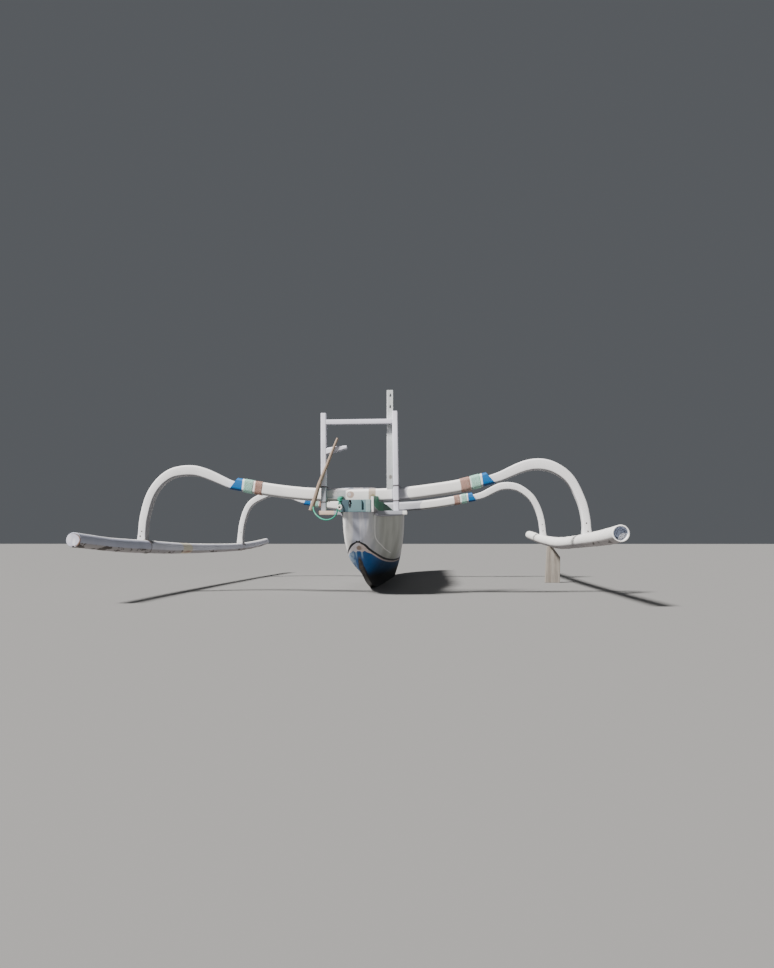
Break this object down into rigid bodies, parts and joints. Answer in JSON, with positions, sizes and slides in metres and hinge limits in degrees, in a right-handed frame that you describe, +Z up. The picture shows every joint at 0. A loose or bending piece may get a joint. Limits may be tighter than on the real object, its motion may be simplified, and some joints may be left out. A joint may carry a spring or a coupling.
{
  "type": "double-outrigger canoe",
  "caption": "Wooden double-outrigger sailing canoe on a beach: narrow open hull, cross booms, bent arms, bamboo floats, stern frame and a prop board under one float",
  "frame": {"origin": "on the floor under the middle of the canoe's length, in the hull's centre plane", "axes": "+X to starboard, +Y towards the bow, +Z up"},
  "size_m": [3.7521, 6.449, 1.66],
  "materials": {
    "white_paint": "chalky white oil paint on wood and bamboo, scuffed",
    "worn_paint": "grey-lavender paint worn towards the wood",
    "hull_blue_paint": "deep blue bottom paint, bare brown along the keel",
    "green_paint": "green paint on boards",
    "mint_paint": "faded mint paint",
    "bare_wood": "weathered bare wood",
    "rope": "laid green rope"
  },
  "bodies": {
    "root": {"hull_log": "hull_blue_paint", "hull_plank_port": "white_paint", "hull_plank_starboard": "white_paint", "gunwale_rail_port": "worn_paint", "gunwale_rail_starboard": "worn_paint", "frame_foot_board": "worn_paint", "stern_washboard_port": "green_paint", "stern_washboard_starboard": "green_paint", "stern_block": "mint_paint", "frame_post_port": "white_paint", "frame_post_starboard": "white_paint", "frame_crossbar": "white_paint", "frame_tall_board": "white_paint", "frame_peg": "white_paint", "leaning_pole": "bare_wood", "thwart_aft": "worn_paint", "thwart_middle": "worn_paint", "thwart_mast": "worn_paint", "floor_board_port": "bare_wood", "floor_board_starboard": "bare_wood", "mast_step": "bare_wood", "float_prop": "bare_wood", "hanging_rope": "rope", "float_port": "white_paint", "float_starboard": "white_paint", "arch_aft_port": "white_paint", "arch_aft_starboard": "white_paint", "arch_fore_port": "white_paint", "arch_fore_starboard": "white_paint", "boom_aft_port": "white_paint", "boom_aft_starboard": "white_paint", "boom_fore_port": "white_paint", "boom_fore_starboard": "white_paint"}
  },
  "joints": []
}
